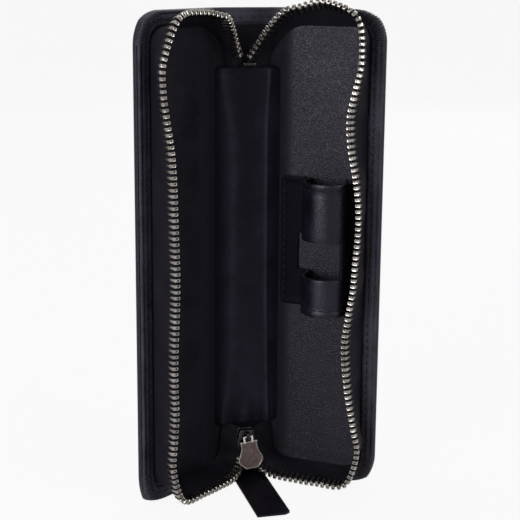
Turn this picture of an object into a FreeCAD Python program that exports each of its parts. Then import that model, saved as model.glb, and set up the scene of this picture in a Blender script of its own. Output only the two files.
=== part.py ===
import FreeCAD, Part
import math
import os
from FreeCAD import Placement, Rotation, Vector

# A slim zip-round leather case for one pen, unzipped and standing on its foot.
# Millimetres and degrees. The case stands on Z = 0, is even about X = 0 and opens towards -Y.

# Covers and spine
case_height = 168.0
cover_width = 38.0
spine_width = 22.7
fold_angle = 35.6
corner_radius = 11.0
leather = 1.1
cover_board = 1.1
lining = 0.7
hem_width = 5.0
fit_gap = 0.1
fold_gap = 0.4
spine_edge_gap = 0.15
lining_fold_gap = 1.6

# Spine lining over its stiffener
spine_lining_low = 19.2
spine_lining_drop = 19.5
spine_lining_half = 9.2
ridge_half_end = 7.6
ridge_half_middle = 6.2
ridge_rise = 2.9
plateau_sag = 0.5
lining_foot = 0.8
spine_board_half = 5.4
spine_board_thick = 1.3

# Zip tape: how far it stands out of its seam, and how far the tooth row leans outward from
# the seam at even steps, from the foot next to the spine round to the head next to the spine
tape_width = 11.5
tape_thick = 0.7
tape_seat = 0.8
seat_gap = 0.2
tape_start = 10.0
left_lean = (3.0, 3.0, 3.3, 4.3, 2.8, 2.1, 2.4, 2.4, 2.0, 1.6, 1.5, 1.8, 2.1, 2.4, 3.0, 4.3,
             5.4, 4.9, 2.8, 4.3, 3.2)
right_lean = (3.0, 3.0, 3.4, 3.6, 1.3, -0.4, -1.7, -2.3, -1.3, 0.1, 0.7, 1.3, 1.2, 0.1, -1.6,
              -2.1, -0.3, 0.7, 1.2, 6.0, 4.4)

# Tape ends, which leave the covers and dive to the spine: where their tooth rows and seams stop,
# out from the middle, forward, and up from the floor or down from the top of the case
end_gap = 0.2
end_steps = 6
head_row_out = 2.0
head_row_forward = 3.8
head_row_drop = 17.4
head_seam_out = 7.6
head_seam_forward = 0.2
head_seam_drop = 18.6
foot_row_out = 2.8
foot_row_forward = 5.5
foot_row_height = 11.4
foot_seam_out = 9.0
foot_seam_forward = 2.4
foot_seam_height = 12.4
row_reach = 9.0
seam_reach = 6.0
tape_facets = 3

# Zip teeth
tooth_pitch = 2.0
tooth_neck = 0.84
tooth_head = 1.24
tooth_tail = 1.9
tooth_tip = 1.65
tooth_depth = 2.0
stop_width = 4.6
stop_thick = 1.0
stop_gap = 0.2

# Pen loop on the right cover, given from the hinge line outward
loop_low = 64.5
loop_height = 46.0
loop_flange_edge = 2.0
loop_axis = 20.0
loop_inner_radius = 7.6
loop_axis_rise = 8.6
loop_foot_radius = 2.0
window_low = 77.5
window_high = 90.5
window_edge = 8.6
window_wall = 1.6

# Slider, bridge and puller
slider_low = 10.6
slider_height = 8.1
slider_plate = 0.7
slider_room = 2.4
slider_crown = 3.5
slider_tail = 2.5
wedge_half = 0.75
wedge_height = 3.0
bridge_width = 1.4
bridge_wall = 0.6
bridge_window = 1.6
bridge_depth = 2.2
bridge_beam = 0.7
bridge_top_gap = 0.3
bar_radius = 0.4
arm_gap = 0.35
arm_width = 0.8
puller_reach = 2.0
puller_height = 9.7
puller_thick = 1.0
puller_top_half = 2.9
puller_waist_half = 2.6
puller_waist_drop = 2.3
puller_bulge_half = 4.1
puller_bulge_drop = 5.8
puller_foot_half = 2.0
puller_rim = 0.55
puller_recess = 0.25

# Grip tab on the floor
tab_half = 5.8
tab_length = 41.3
tab_thick = 1.3
tab_corner = 1.0
tab_gap = 0.3

os.makedirs("parts", exist_ok=True)

# Levels through a cover, counted inward from the plane of its hinge line
inner_face = leather + cover_board / 2
board_face = cover_board / 2
lining_face = board_face + lining
hinge_x = spine_width / 2
spine_half = hinge_x - spine_edge_gap
spine_lining_high = case_height - spine_lining_drop
head_row = Vector(head_row_out, -head_row_forward, case_height - head_row_drop)
head_seam = Vector(head_seam_out, -head_seam_forward, case_height - head_seam_drop)
foot_row = Vector(foot_row_out, -foot_row_forward, foot_row_height)
foot_seam = Vector(foot_seam_out, -foot_seam_forward, foot_seam_height)


def save(shape, name):
    shape.exportStep("parts/" + name + ".step")


def on_right(shape):
    """Turn a flat cover piece to the open right cover."""
    turn = Rotation(Vector(0, 0, 1), -fold_angle)
    return shape.transformed(Placement(Vector(hinge_x, 0, 0), turn).toMatrix())


def on_left(shape):
    """The same for the left cover, the mirror image of the right one."""
    return on_right(shape).mirror(Vector(0, 0, 0), Vector(1, 0, 0))


def right_point(out, rise, height):
    """A point of the right cover: outward from the hinge, inward from its plane, and up."""
    turn = math.radians(fold_angle)
    x = hinge_x + out * math.cos(turn) - rise * math.sin(turn)
    y = -out * math.sin(turn) - rise * math.cos(turn)
    return Vector(x, y, height)


def mirrored(point):
    return Vector(-point.x, point.y, point.z)


def outline(points):
    """A closed wire of straight runs through the points."""
    return Part.makePolygon(points + points[:1])


def box_between(low, high):
    size = high - low
    return Part.makeBox(size.x, size.y, size.z, low)


def panel(near, inset, start, end):
    """A flat cover panel with round free corners, between two levels of the cover."""
    far = cover_width - inset
    low = inset
    high = case_height - inset
    radius = corner_radius - inset
    diagonal = radius * (1 - math.sqrt(0.5))
    y = -start
    edges = [
        Part.makeLine(Vector(near, y, low), Vector(far - radius, y, low)),
        Part.Arc(Vector(far - radius, y, low), Vector(far - diagonal, y, low + diagonal),
                 Vector(far, y, low + radius)).toShape(),
        Part.makeLine(Vector(far, y, low + radius), Vector(far, y, high - radius)),
        Part.Arc(Vector(far, y, high - radius), Vector(far - diagonal, y, high - diagonal),
                 Vector(far - radius, y, high)).toShape(),
        Part.makeLine(Vector(far - radius, y, high), Vector(near, y, high)),
        Part.makeLine(Vector(near, y, high), Vector(near, y, low)),
    ]
    return Part.Face(Part.Wire(edges)).extrude(Vector(0, start - end, 0))


# Spine: outer leather, stiffener, and a lining raised over the stiffener between two soft ridges
spine_outer = inner_face
spine_inner = board_face
save(box_between(Vector(-spine_half, spine_inner, 0), Vector(spine_half, spine_outer, case_height)),
     "spine_leather")

board_front = spine_inner - spine_board_thick
board_low = spine_lining_low + lining
board_high = spine_lining_high - lining
save(box_between(Vector(-spine_board_half, board_front, board_low),
                 Vector(spine_board_half, spine_inner, board_high)), "spine_board")


def lining_section(ridge_half, height):
    """Lining outline: flat feet beside the hinges, two ridges and a slightly hollow middle."""
    foot = spine_inner - lining_foot
    crest = spine_inner - spine_board_thick - ridge_rise + lining
    middle = crest + plateau_sag
    points = [
        Vector(-spine_lining_half, spine_inner, height),
        Vector(-spine_lining_half, foot, height),
        Vector(-ridge_half, crest, height),
        Vector(ridge_half, crest, height),
        Vector(spine_lining_half, foot, height),
        Vector(spine_lining_half, spine_inner, height),
    ]
    hollow = Part.Arc(points[2], Vector(0, middle, height), points[3]).toShape()
    runs = [Part.makeLine(points[i], points[i + 1]) for i in (0, 1)]
    runs.append(hollow)
    runs += [Part.makeLine(points[i], points[i + 1]) for i in (3, 4)]
    runs.append(Part.makeLine(points[5], points[0]))
    return Part.Wire(runs)


lining_middle = (spine_lining_low + spine_lining_high) / 2
spine_lining = Part.makeLoft([
    lining_section(ridge_half_end, spine_lining_low),
    lining_section(ridge_half_middle, lining_middle),
    lining_section(ridge_half_end, spine_lining_high)], True, False)
pocket = box_between(
    Vector(-spine_board_half - fit_gap, board_front - fit_gap, board_low - fit_gap),
    Vector(spine_board_half + fit_gap, spine_outer, board_high + fit_gap))
save(spine_lining.cut(pocket), "spine_lining")

# Covers: leather turned over the board's edge into a hem, the board, and the lining panel
past_hinge = -cover_width
cover_leather = panel(fold_gap, 0, -inner_face, inner_face)
cover_leather = cover_leather.cut(panel(past_hinge, leather, -board_face, board_face))
cover_leather = cover_leather.cut(panel(past_hinge, hem_width, board_face, 2 * inner_face))
board_panel = panel(lining_fold_gap, leather + fit_gap, -board_face, board_face)
lining_panel = panel(lining_fold_gap, hem_width + fit_gap, board_face, lining_face)
for side, place in (("left", on_left), ("right", on_right)):
    save(place(cover_leather), side + "_cover_leather")
    save(place(board_panel), side + "_cover_board")
    save(place(lining_panel), side + "_cover_lining")

# Zip tape: its seam runs just inside the hem round three edges of a cover
seam_inset = hem_width + tape_seat
seam_rise = lining_face + seat_gap
seam_radius = corner_radius - seam_inset
seam_far = cover_width - seam_inset
corner_out = seam_far - seam_radius
corner_low = seam_inset + seam_radius
corner_high = case_height - corner_low
flat_run = corner_out - tape_start
bend_run = seam_radius * math.pi / 2
side_run = corner_high - corner_low
seam_length = 2 * flat_run + 2 * bend_run + side_run


def seam_at(distance):
    """Place on the seam and its outward direction, each as out-from-hinge and up."""
    if distance < flat_run:
        return (tape_start + distance, seam_inset), (0, -1)
    distance -= flat_run
    if distance < bend_run:
        turn = distance / seam_radius
        away = (math.sin(turn), -math.cos(turn))
        return (corner_out + seam_radius * away[0], corner_low + seam_radius * away[1]), away
    distance -= bend_run
    if distance < side_run:
        return (seam_far, corner_low + distance), (1, 0)
    distance -= side_run
    if distance < bend_run:
        turn = distance / seam_radius
        away = (math.cos(turn), math.sin(turn))
        return (corner_out + seam_radius * away[0], corner_high + seam_radius * away[1]), away
    distance -= bend_run
    return (corner_out - distance, case_height - seam_inset), (0, 1)


def tape_edges(leans):
    """Points of the seam and of the tooth row on the right cover, at even steps."""
    seam = []
    row = []
    for step, lean in enumerate(leans):
        (out, height), away = seam_at(seam_length * step / (len(leans) - 1))
        rise = seam_rise + math.sqrt(tape_width ** 2 - lean ** 2)
        seam.append(right_point(out, seam_rise, height))
        row.append(right_point(out + lean * away[0], rise, height + lean * away[1]))
    return seam, row


def bezier(start, start_way, end, end_way, reach):
    """Points of a soft bend that leaves start and reaches end along the given ways."""
    lead = start + start_way * reach
    trail = end - end_way * reach
    points = []
    for step in range(end_steps + 1):
        t = step / end_steps
        u = 1 - t
        points.append(start * u ** 3 + lead * (3 * u * u * t) + trail * (3 * u * t * t)
                      + end * t ** 3)
    return points


def unit(vector):
    return vector / vector.Length


def end_edges(seam, row, seam_end, row_end, downward):
    """Points of one tape end, from where the cover lets go of the tape to the spine."""
    inward = unit(right_point(0, 0, 0) - right_point(1, 0, 0))
    way = Vector(0, 0, -1 if downward else 1)
    shift = inward * end_gap
    return (bezier(seam + shift, inward, seam_end, way, seam_reach),
            bezier(row + shift, inward, row_end, way, row_reach))


def curve_through(points):
    curve = Part.BSplineCurve()
    curve.interpolate(Points=points, Parameters=[float(i) for i in range(len(points))])
    return curve


def ribbon(seam, row):
    """The woven tape as a thin solid between its seam and its tooth row."""
    seam_curve = curve_through(seam)
    row_curve = curve_through(row)
    sections = []
    for i in range((len(seam) - 1) * tape_facets + 1):
        where = i / tape_facets
        foot = seam_curve.value(where)
        edge = row_curve.value(where)
        along = row_curve.tangent(where)[0] + seam_curve.tangent(where)[0]
        half = unit(along.cross(edge - foot)) * (tape_thick / 2)
        sections.append(outline([foot - half, edge - half, edge + half, foot + half]))
    return Part.makeLoft(sections, True, True)


neck = tooth_neck / 2
head = tooth_head / 2
shoulder = tooth_tip / 2
tooth = Part.Face(outline([
    Vector(-neck, -tooth_tail, 0), Vector(neck, -tooth_tail, 0), Vector(neck, neck, 0),
    Vector(head, shoulder, 0), Vector(head, tooth_tip - neck, 0), Vector(neck, tooth_tip, 0),
    Vector(-neck, tooth_tip, 0), Vector(-head, tooth_tip - neck, 0), Vector(-head, shoulder, 0),
    Vector(-neck, neck, 0)])).extrude(Vector(0, 0, tooth_depth))
tooth.translate(Vector(0, 0, -tooth_depth / 2))


def teeth_along(seam, row):
    """Separate teeth on the tape's edge, one pitch apart, each square to the tape there."""
    row_curve = curve_through(row)
    seam_curve = curve_through(seam)
    edge = row_curve.toShape()
    count = int(edge.Length / tooth_pitch)
    spare = (edge.Length - (count - 1) * tooth_pitch) / 2
    teeth = []
    for i in range(count):
        where = edge.getParameterByLength(spare + i * tooth_pitch)
        place = row_curve.value(where)
        along = unit(row_curve.tangent(where)[0])
        across = place - seam_curve.value(where)
        across = unit(across - along * across.dot(along))
        turn = Rotation(along, across, along.cross(across), "XYZ")
        teeth.append(tooth.transformed(Placement(place, turn).toMatrix()))
    return teeth


for side, leans in (("left", left_lean), ("right", right_lean)):
    seam, row = tape_edges(leans)
    head_end = end_edges(seam[-1], row[-1], head_seam, head_row, True)
    foot_end = end_edges(seam[0], row[0], foot_seam, foot_row, False)
    if side == "left":
        seam, row = ([mirrored(p) for p in line] for line in (seam, row))
        head_end = [[mirrored(p) for p in line] for line in head_end]
        foot_end = [[mirrored(p) for p in line] for line in foot_end]
    save(ribbon(seam, row), side + "_zip_tape")
    save(Part.makeCompound(teeth_along(seam, row)), side + "_zip_teeth")
    save(Part.makeCompound([ribbon(*head_end), ribbon(*foot_end)]), side + "_tape_ends")
    end_teeth = teeth_along(*head_end) + teeth_along(*foot_end)
    save(Part.makeCompound(end_teeth), side + "_end_teeth")

# Top stop: a small metal bar across the two row ends, seated on the lining's upper hem
stop_low = spine_lining_high + stop_gap
stop_front = head_row.y - stop_thick / 2
save(box_between(Vector(-stop_width / 2, stop_front, stop_low),
                 Vector(stop_width / 2, stop_front + 2 * stop_thick, stop_low + stop_thick)),
     "zip_top_stop")

# Pen loop: a sewn flange, an arch over the pen and a straight outer wall, with a window in front
loop_outer_radius = loop_inner_radius + leather
loop_inside = loop_axis - loop_inner_radius
loop_outside = loop_axis - loop_outer_radius
wall_inside = loop_axis + loop_inner_radius
wall_outside = loop_axis + loop_outer_radius
flange_face = lining_face + leather
foot_turn = loop_foot_radius * (1 - math.sqrt(0.5))
foot_out = loop_foot_radius + leather
foot_out_turn = foot_out * (1 - math.sqrt(0.5))


def loop_point(out, rise):
    return Vector(out, -rise, loop_low)


def loop_arch(radius, mirror):
    """A quarter of the arch over the pen, on the hinge side or on the free side."""
    diagonal = radius * math.sqrt(0.5)
    start = loop_point(loop_axis + mirror * radius, loop_axis_rise)
    bend = loop_point(loop_axis + mirror * diagonal, loop_axis_rise + diagonal)
    return Part.Arc(start, bend, loop_point(loop_axis, loop_axis_rise + radius)).toShape()


loop_edges = [
    Part.makeLine(loop_point(loop_flange_edge, lining_face),
                  loop_point(loop_inside - foot_out, lining_face)),
    Part.Arc(loop_point(loop_inside - foot_out, lining_face),
             loop_point(loop_inside - foot_out_turn, lining_face + foot_out_turn),
             loop_point(loop_inside, lining_face + foot_out)).toShape(),
    Part.makeLine(loop_point(loop_inside, lining_face + foot_out),
                  loop_point(loop_inside, loop_axis_rise)),
    loop_arch(loop_inner_radius, -1),
    loop_arch(loop_inner_radius, 1),
    Part.makeLine(loop_point(wall_inside, loop_axis_rise), loop_point(wall_inside, lining_face)),
    Part.makeLine(loop_point(wall_inside, lining_face), loop_point(wall_outside, lining_face)),
    Part.makeLine(loop_point(wall_outside, lining_face),
                  loop_point(wall_outside, loop_axis_rise)),
    loop_arch(loop_outer_radius, 1),
    loop_arch(loop_outer_radius, -1),
    Part.makeLine(loop_point(loop_outside, loop_axis_rise),
                  loop_point(loop_outside, flange_face + loop_foot_radius)),
    Part.Arc(loop_point(loop_outside, flange_face + loop_foot_radius),
             loop_point(loop_outside - foot_turn, flange_face + foot_turn),
             loop_point(loop_outside - loop_foot_radius, flange_face)).toShape(),
    Part.makeLine(loop_point(loop_outside - loop_foot_radius, flange_face),
                  loop_point(loop_flange_edge, flange_face)),
    Part.makeLine(loop_point(loop_flange_edge, flange_face),
                  loop_point(loop_flange_edge, lining_face)),
]
loop_wire = Part.Wire(Part.__sortEdges__(loop_edges))
pen_loop = Part.Face(loop_wire).extrude(Vector(0, 0, loop_height))
window = box_between(Vector(window_edge, -loop_axis_rise - 2 * loop_outer_radius, window_low),
                     Vector(wall_outside - window_wall, -flange_face, window_high))
save(on_right(pen_loop.cut(window)), "pen_loop")

# Slider: two plates in front of and behind the tooth rows, joined by the wedge that parts them
row_plane = foot_row.y
room_front = row_plane - slider_room / 2
room_back = row_plane + slider_room / 2
slider_front = room_front - slider_plate
slider_top = slider_low + slider_height


def slider_plate_at(y):
    shoulder_height = slider_low + slider_height / 2
    face = Part.Face(outline([
        Vector(-slider_crown, y, slider_low), Vector(slider_crown, y, slider_low),
        Vector(slider_crown, y, shoulder_height), Vector(slider_tail, y, slider_top),
        Vector(-slider_tail, y, slider_top), Vector(-slider_crown, y, shoulder_height)]))
    return face.extrude(Vector(0, slider_plate, 0))


wedge = box_between(Vector(-wedge_half, room_front, slider_low),
                    Vector(wedge_half, room_back, slider_low + wedge_height))
slider_body = slider_plate_at(slider_front).fuse([slider_plate_at(room_back), wedge])
save(slider_body.removeSplitter(), "slider_body")

# Bridge: a small arch on the front plate that the puller's bar hangs in
bridge_high = slider_top - bridge_top_gap
bridge_low = bridge_high - bridge_window - 2 * bridge_wall
beam_back = slider_front - bridge_depth
bridge = box_between(Vector(-bridge_width / 2, beam_back - bridge_beam, bridge_low),
                     Vector(bridge_width / 2, slider_front, bridge_high))
bridge_hole = box_between(
    Vector(-bridge_width, beam_back, bridge_low + bridge_wall),
    Vector(bridge_width, slider_front, bridge_high - bridge_wall))
save(bridge.cut(bridge_hole), "slider_bridge")

# Puller: a bar in the bridge, two arms, and a shield-shaped plate with a raised rim
bar_y = beam_back + bar_radius + 2 * fit_gap
bar_z = bridge_low + bridge_wall + bar_radius + fit_gap
arm_inside = bridge_width / 2 + arm_gap
arm_outside = arm_inside + arm_width
bar = Part.makeCylinder(bar_radius, 2 * arm_outside, Vector(-arm_outside, bar_y, bar_z),
                        Vector(1, 0, 0))
plate_top = bar_z - puller_reach
plate_low = plate_top - puller_height
plate_front = bar_y - puller_thick / 2


def shield(inset, front, depth):
    """The puller's plate outline, drawn in by inset."""
    half = [(puller_top_half - inset, plate_top - inset),
            (puller_waist_half - inset, plate_top - puller_waist_drop),
            (puller_bulge_half - inset, plate_top - puller_bulge_drop),
            (puller_foot_half - inset / 2, plate_low + inset)]
    right = [Vector(x, front, z) for x, z in half]
    left = [Vector(-x, front, z) for x, z in reversed(half)]
    return Part.Face(outline(right + left)).extrude(Vector(0, depth, 0))


puller = shield(0, plate_front, puller_thick)
puller = puller.cut(shield(puller_rim, plate_front, puller_recess))
for way in (-1, 1):
    near = min(way * arm_inside, way * arm_outside)
    puller = puller.fuse(box_between(Vector(near, bar_y - bar_radius, plate_top),
                                     Vector(near + arm_width, bar_y + bar_radius, bar_z)))
save(puller.fuse(bar).removeSplitter(), "zip_puller")

# Grip tab: a leather strip sewn to the spine's foot, lying forward on the floor
tab_back = spine_inner - tab_gap
tab_front = tab_back - tab_length
tab = Part.Face(outline([
    Vector(-tab_half, tab_back, 0), Vector(-tab_half, tab_front, 0),
    Vector(tab_half - tab_corner, tab_front, 0), Vector(tab_half, tab_front + tab_corner, 0),
    Vector(tab_half, tab_back, 0)])).extrude(Vector(0, 0, tab_thick))
save(tab, "grip_tab")
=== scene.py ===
import math

import bpy
import numpy as np
from mathutils import Matrix, Quaternion, Vector
from mathutils.kdtree import KDTree


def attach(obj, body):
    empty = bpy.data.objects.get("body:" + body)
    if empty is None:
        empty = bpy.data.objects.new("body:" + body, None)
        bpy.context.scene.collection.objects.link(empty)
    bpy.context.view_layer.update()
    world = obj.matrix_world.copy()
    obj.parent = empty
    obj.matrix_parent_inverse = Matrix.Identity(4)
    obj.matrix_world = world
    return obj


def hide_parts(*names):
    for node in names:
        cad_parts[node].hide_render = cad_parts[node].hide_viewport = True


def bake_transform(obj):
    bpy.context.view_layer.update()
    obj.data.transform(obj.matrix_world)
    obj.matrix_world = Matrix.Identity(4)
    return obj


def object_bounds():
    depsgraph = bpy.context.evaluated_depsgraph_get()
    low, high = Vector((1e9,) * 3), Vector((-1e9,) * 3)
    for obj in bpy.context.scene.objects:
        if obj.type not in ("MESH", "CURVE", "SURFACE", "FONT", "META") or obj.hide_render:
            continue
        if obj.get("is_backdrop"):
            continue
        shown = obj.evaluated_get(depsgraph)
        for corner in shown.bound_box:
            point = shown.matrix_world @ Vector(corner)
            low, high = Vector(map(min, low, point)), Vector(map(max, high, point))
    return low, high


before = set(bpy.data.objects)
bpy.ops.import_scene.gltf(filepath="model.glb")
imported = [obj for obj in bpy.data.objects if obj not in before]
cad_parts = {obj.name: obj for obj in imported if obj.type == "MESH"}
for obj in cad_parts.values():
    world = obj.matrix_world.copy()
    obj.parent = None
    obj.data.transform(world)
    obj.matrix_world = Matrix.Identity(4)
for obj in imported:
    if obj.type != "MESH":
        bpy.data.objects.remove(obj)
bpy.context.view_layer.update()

# Outer leather: one black hide wraps the spine and both covers. Its edge is turned over the
# board round three sides, glued down as a hem and sewn. Each half runs from the spine's middle.
metre = 0.001
sides = {"left": -1, "right": 1}
case_height, cover_width, spine_half = 168.0, 38.0, 11.35
half_width = spine_half + cover_width
corner_radius = 11.0
square_low, square_high = {"left": 0.42, "right": 0.25}, 0.14
open_angle = math.radians(35.6)
fold_radius, fold_soft = 9.0, 3.0
fold_reach = fold_radius * math.tan(open_angle / 2)


def cover_plane(past, rise):
    """Across and back of a place on the open cover, past its fold line and risen inward."""
    return (spine_half + past * math.cos(open_angle) - rise * math.sin(open_angle),
            -past * math.sin(open_angle) - rise * math.cos(open_angle))


def folded(side, out, rise, height):
    """Places on the open case, in metres, from flat leather in millimetres: out from the spine's
    middle, inward from the plane of the fold lines, and up."""
    out, rise, height = np.broadcast_arrays(*(np.asarray(v, float) for v in (out, rise, height)))
    past = out - spine_half
    turn = np.clip((past + fold_reach) / (2 * fold_reach), 0, 1) * open_angle
    on_cover = past >= fold_reach
    cover_across, cover_back = cover_plane(past, rise)
    across = np.where(on_cover, cover_across, np.minimum(out, spine_half - fold_reach)
                      + (fold_radius - rise) * np.sin(turn))
    back = np.where(on_cover, cover_back, (fold_radius - rise) * np.cos(turn) - fold_radius)
    return np.stack([sides[side] * across, back, height], -1) * metre


def follow_fold(piece):
    """Bake the piece's place into its mesh."""
    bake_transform(piece)


edge_columns, corner_cells, side_rows = 48, 58, 110
last_column = edge_columns + corner_cells
last_row = 2 * corner_cells + side_rows


def corner_steps(column, row):
    """How far a grid point lies into a free corner, out, down and up, each from 0 to 1."""
    return (np.clip((column - edge_columns) / corner_cells, 0, 1),
            np.clip((corner_cells - row) / corner_cells, 0, 1),
            np.clip((row - corner_cells - side_rows) / corner_cells, 0, 1))


def rounded(a, b, square=0.0):
    """One measure of a corner's place, pushed round to an arc and part of the way back."""
    return a * (square + (1 - square) * np.sqrt(1 - b * b / 2))


def sheet_place(side, column, row, inset):
    """Out and up of a grid point on a sheet whose border lies that far inside the case's edge."""
    a, low, high = corner_steps(column, row)
    b = low + high
    radius = corner_radius - inset
    square = np.where(high > 0, square_high, square_low[side])
    out = (np.clip(column / edge_columns, 0, 1) * (half_width - corner_radius)
           + rounded(a, b, square) * radius)
    reach = rounded(b, a, square) * radius
    middle = np.clip((row - corner_cells) / side_rows, 0, 1) * (case_height - 2 * corner_radius)
    return out, corner_radius + middle + np.where(high > 0, reach, -reach)


def points_of(piece):
    points = np.empty(len(piece.data.vertices) * 3)
    piece.data.vertices.foreach_get("co", points)
    return points.reshape(-1, 3)


def set_points(piece, points):
    piece.data.vertices.foreach_set("co", np.asarray(points, np.float32).ravel())
    piece.data.update()


def pick(*pieces):
    """Select these pieces and nothing else, and make the first one active."""
    bpy.ops.object.select_all(action="DESELECT")
    for piece in pieces:
        piece.select_set(True)
    if pieces:
        bpy.context.view_layer.objects.active = pieces[0]


def named(name):
    """Apply the new primitive's place to its mesh, and name it."""
    piece = bpy.context.object
    bpy.ops.object.transform_apply(location=True, rotation=True, scale=True)
    piece.name = piece.data.name = name
    return piece


def new_grid(name, columns, rows):
    """A fresh grid, and the column and row of each of its points."""
    pick()
    bpy.ops.mesh.primitive_grid_add(x_subdivisions=columns, y_subdivisions=rows, size=1)
    piece = named(name)
    spread = points_of(piece) + 0.5
    return piece, np.rint(spread[:, 0] * columns), np.rint(spread[:, 1] * rows)


def edit(piece, *steps):
    """Run edit-mode operators on one piece, with nothing else selected."""
    pick(piece)
    bpy.ops.object.mode_set(mode="EDIT")
    for step in steps:
        step()
    bpy.ops.object.mode_set(mode="OBJECT")


def pick_all():
    bpy.ops.mesh.select_all(action="SELECT")


def face_out():
    pick_all()
    bpy.ops.mesh.normals_make_consistent(inside=False)


def unpick(piece):
    """Clear what is selected in a piece's mesh."""
    for part in (piece.data.vertices, piece.data.edges, piece.data.polygons):
        part.foreach_set("select", np.zeros(len(part), bool))


def pick_edges(piece, wanted):
    """Select the edges whose two points are wanted, and nothing else."""
    bpy.context.tool_settings.mesh_select_mode = (False, True, False)
    unpick(piece)
    ends = np.empty(len(piece.data.edges) * 2, int)
    piece.data.edges.foreach_get("vertices", ends)
    piece.data.edges.foreach_set("select", wanted[ends.reshape(-1, 2)].all(1))


def finder_of(places):
    finder = KDTree(len(places))
    for i, place in enumerate(places):
        finder.insert(place, i)
    finder.balance()
    return finder


def turn_over(piece, *rings):
    """Extrude the selected open edge and carry its points from each ring of places to the next."""
    for before, after in zip(rings, rings[1:]):
        edit(piece, bpy.ops.mesh.extrude_edges_indiv)
        finder = finder_of(before)
        for vertex in piece.data.vertices:
            if vertex.select:
                vertex.co = after[finder.find(vertex.co)[1]]
        piece.data.update()


def close_up(piece):
    """Merge doubles, cap what is open and turn all faces outward."""
    edit(piece, pick_all, lambda: bpy.ops.mesh.remove_doubles(threshold=2e-6),
         lambda: bpy.ops.mesh.select_all(action="DESELECT"),
         bpy.ops.mesh.select_non_manifold, bpy.ops.mesh.edge_face_add, face_out)


def dress(piece, *finishes, angle=50):
    """Shade a piece smooth, but for its sharp edges, and give it its finishes."""
    pick(piece)
    bpy.ops.object.shade_smooth_by_angle(angle=math.radians(angle))
    for finish in finishes:
        piece.data.materials.append(finish)


def join(pieces, name):
    pick(*pieces)
    if len(pieces) > 1:
        bpy.ops.object.join()
    pieces[0].name = pieces[0].data.name = name
    return pieces[0]


def plug(made, **inputs):
    """Set a shader node's inputs, or link them to another node's output."""
    for key, value in inputs.items():
        socket = made.inputs[int(key[1:]) if key[1:].isdigit() else key.replace("_", " ")]
        if isinstance(value, tuple) and isinstance(value[0], bpy.types.Node):
            made.id_data.links.new(value[0].outputs[value[1]], socket)
        else:
            socket.default_value = value


def node(tree, kind, settings=None, **inputs):
    """Add a shader node, set its options, and set or link its inputs."""
    made = tree.nodes.new("ShaderNode" + kind)
    for key, value in (settings or {}).items():
        setattr(made, key, value)
    plug(made, **inputs)
    return made


def new_material(name):
    made = bpy.data.materials.new(name)
    made.use_nodes = True
    return made, made.node_tree, made.node_tree.nodes["Principled BSDF"]


def noise(tree, scale, detail, **more):
    """Noise in the piece's own coordinates."""
    place = node(tree, "TexCoord"), "Object"
    return node(tree, "TexNoise", Vector=place, Scale=scale, Detail=detail, **more), "Fac"


def add_share(tree, extra, share, base):
    return node(tree, "Math", {"operation": "MULTIPLY_ADD"}, i0=extra, i1=share, i2=base), "Value"


def uneven(tree, source, low, high):
    """Roughness that wanders between two values with a noise."""
    return node(tree, "MapRange", Value=source, From_Min=0.3, From_Max=0.7, To_Min=low,
                To_Max=high), "Result"


def bump(tree, source, strength, depth):
    return node(tree, "Bump", Strength=strength, Distance=depth, Height=source), "Normal"


def tones(tree, factor, *stops):
    """A colour ramp from (place, colour) stops."""
    ramp = node(tree, "ValToRGB", Fac=factor)
    for element, (place, colour) in zip(ramp.color_ramp.elements, stops):
        element.position = place
        element.color = (*colour, 1)
    return ramp, "Color"


def leather(name, dark, light, pebble, depth, gloss, shine, with_painted_light=False):
    """Dyed leather: pebbles between fine creases, soft blotches of tone, and uneven gloss. Where
    asked, the piece's own point attribute paints shade into the colour and makes it matt, and
    below 0 paints a highlight and makes it glossier."""
    made, tree, shader = new_material(name)
    place = node(tree, "TexCoord"), "Object"
    drift = node(tree, "TexNoise", Vector=place, Scale=0.35 / pebble, Detail=2.0), "Color"
    shifted = node(tree, "MixRGB", {"blend_type": "LINEAR_LIGHT"}, Fac=pebble * 0.5,
                   Color1=place, Color2=drift), "Color"
    pebbles = node(tree, "TexVoronoi", {"feature": "DISTANCE_TO_EDGE"}, Vector=shifted,
                   Scale=1 / pebble, Randomness=0.9), "Distance"
    domes = node(tree, "MapRange", {"interpolation_type": "SMOOTHSTEP"}, Value=pebbles,
                 From_Max=0.32), "Result"
    pores = noise(tree, 2.4 / pebble, 3.0)
    wear = noise(tree, 95.0, 5.0, Roughness=0.62)
    blotch = add_share(tree, domes, 0.22, wear)
    rough = uneven(tree, wear, gloss - 0.07, gloss + 0.09)
    if with_painted_light:
        # Painted light: the attribute darkens the colour where it paints shade and lightens it
        # where it paints a highlight, and moves the roughness with it.
        painted_light_amount = node(tree, "Attribute", {"attribute_name": "painted_light"}), "Fac"
        blotch = add_share(tree, painted_light_amount, -0.4, blotch)
        rough = add_share(tree, painted_light_amount, 0.45, rough)
    plug(shader, Base_Color=tones(tree, blotch, (0.38, dark), (0.85, light)), Roughness=rough,
         Normal=bump(tree, add_share(tree, pores, 0.35, domes), 0.85, depth),
         Specular_IOR_Level=shine, Specular_Tint=(0.9, 0.86, 1.0, 1))
    return made


hide_leather = leather("black_hide", (0.005, 0.0044, 0.0072), (0.0145, 0.0129, 0.0207),
                       0.0007, 0.00006, 0.4, 0.17)
hem_leather = leather("crinkled_hem", (0.0092, 0.0084, 0.012), (0.044, 0.0403, 0.0556),
                      0.0007, 0.00008, 0.45, 0.17)

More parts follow.
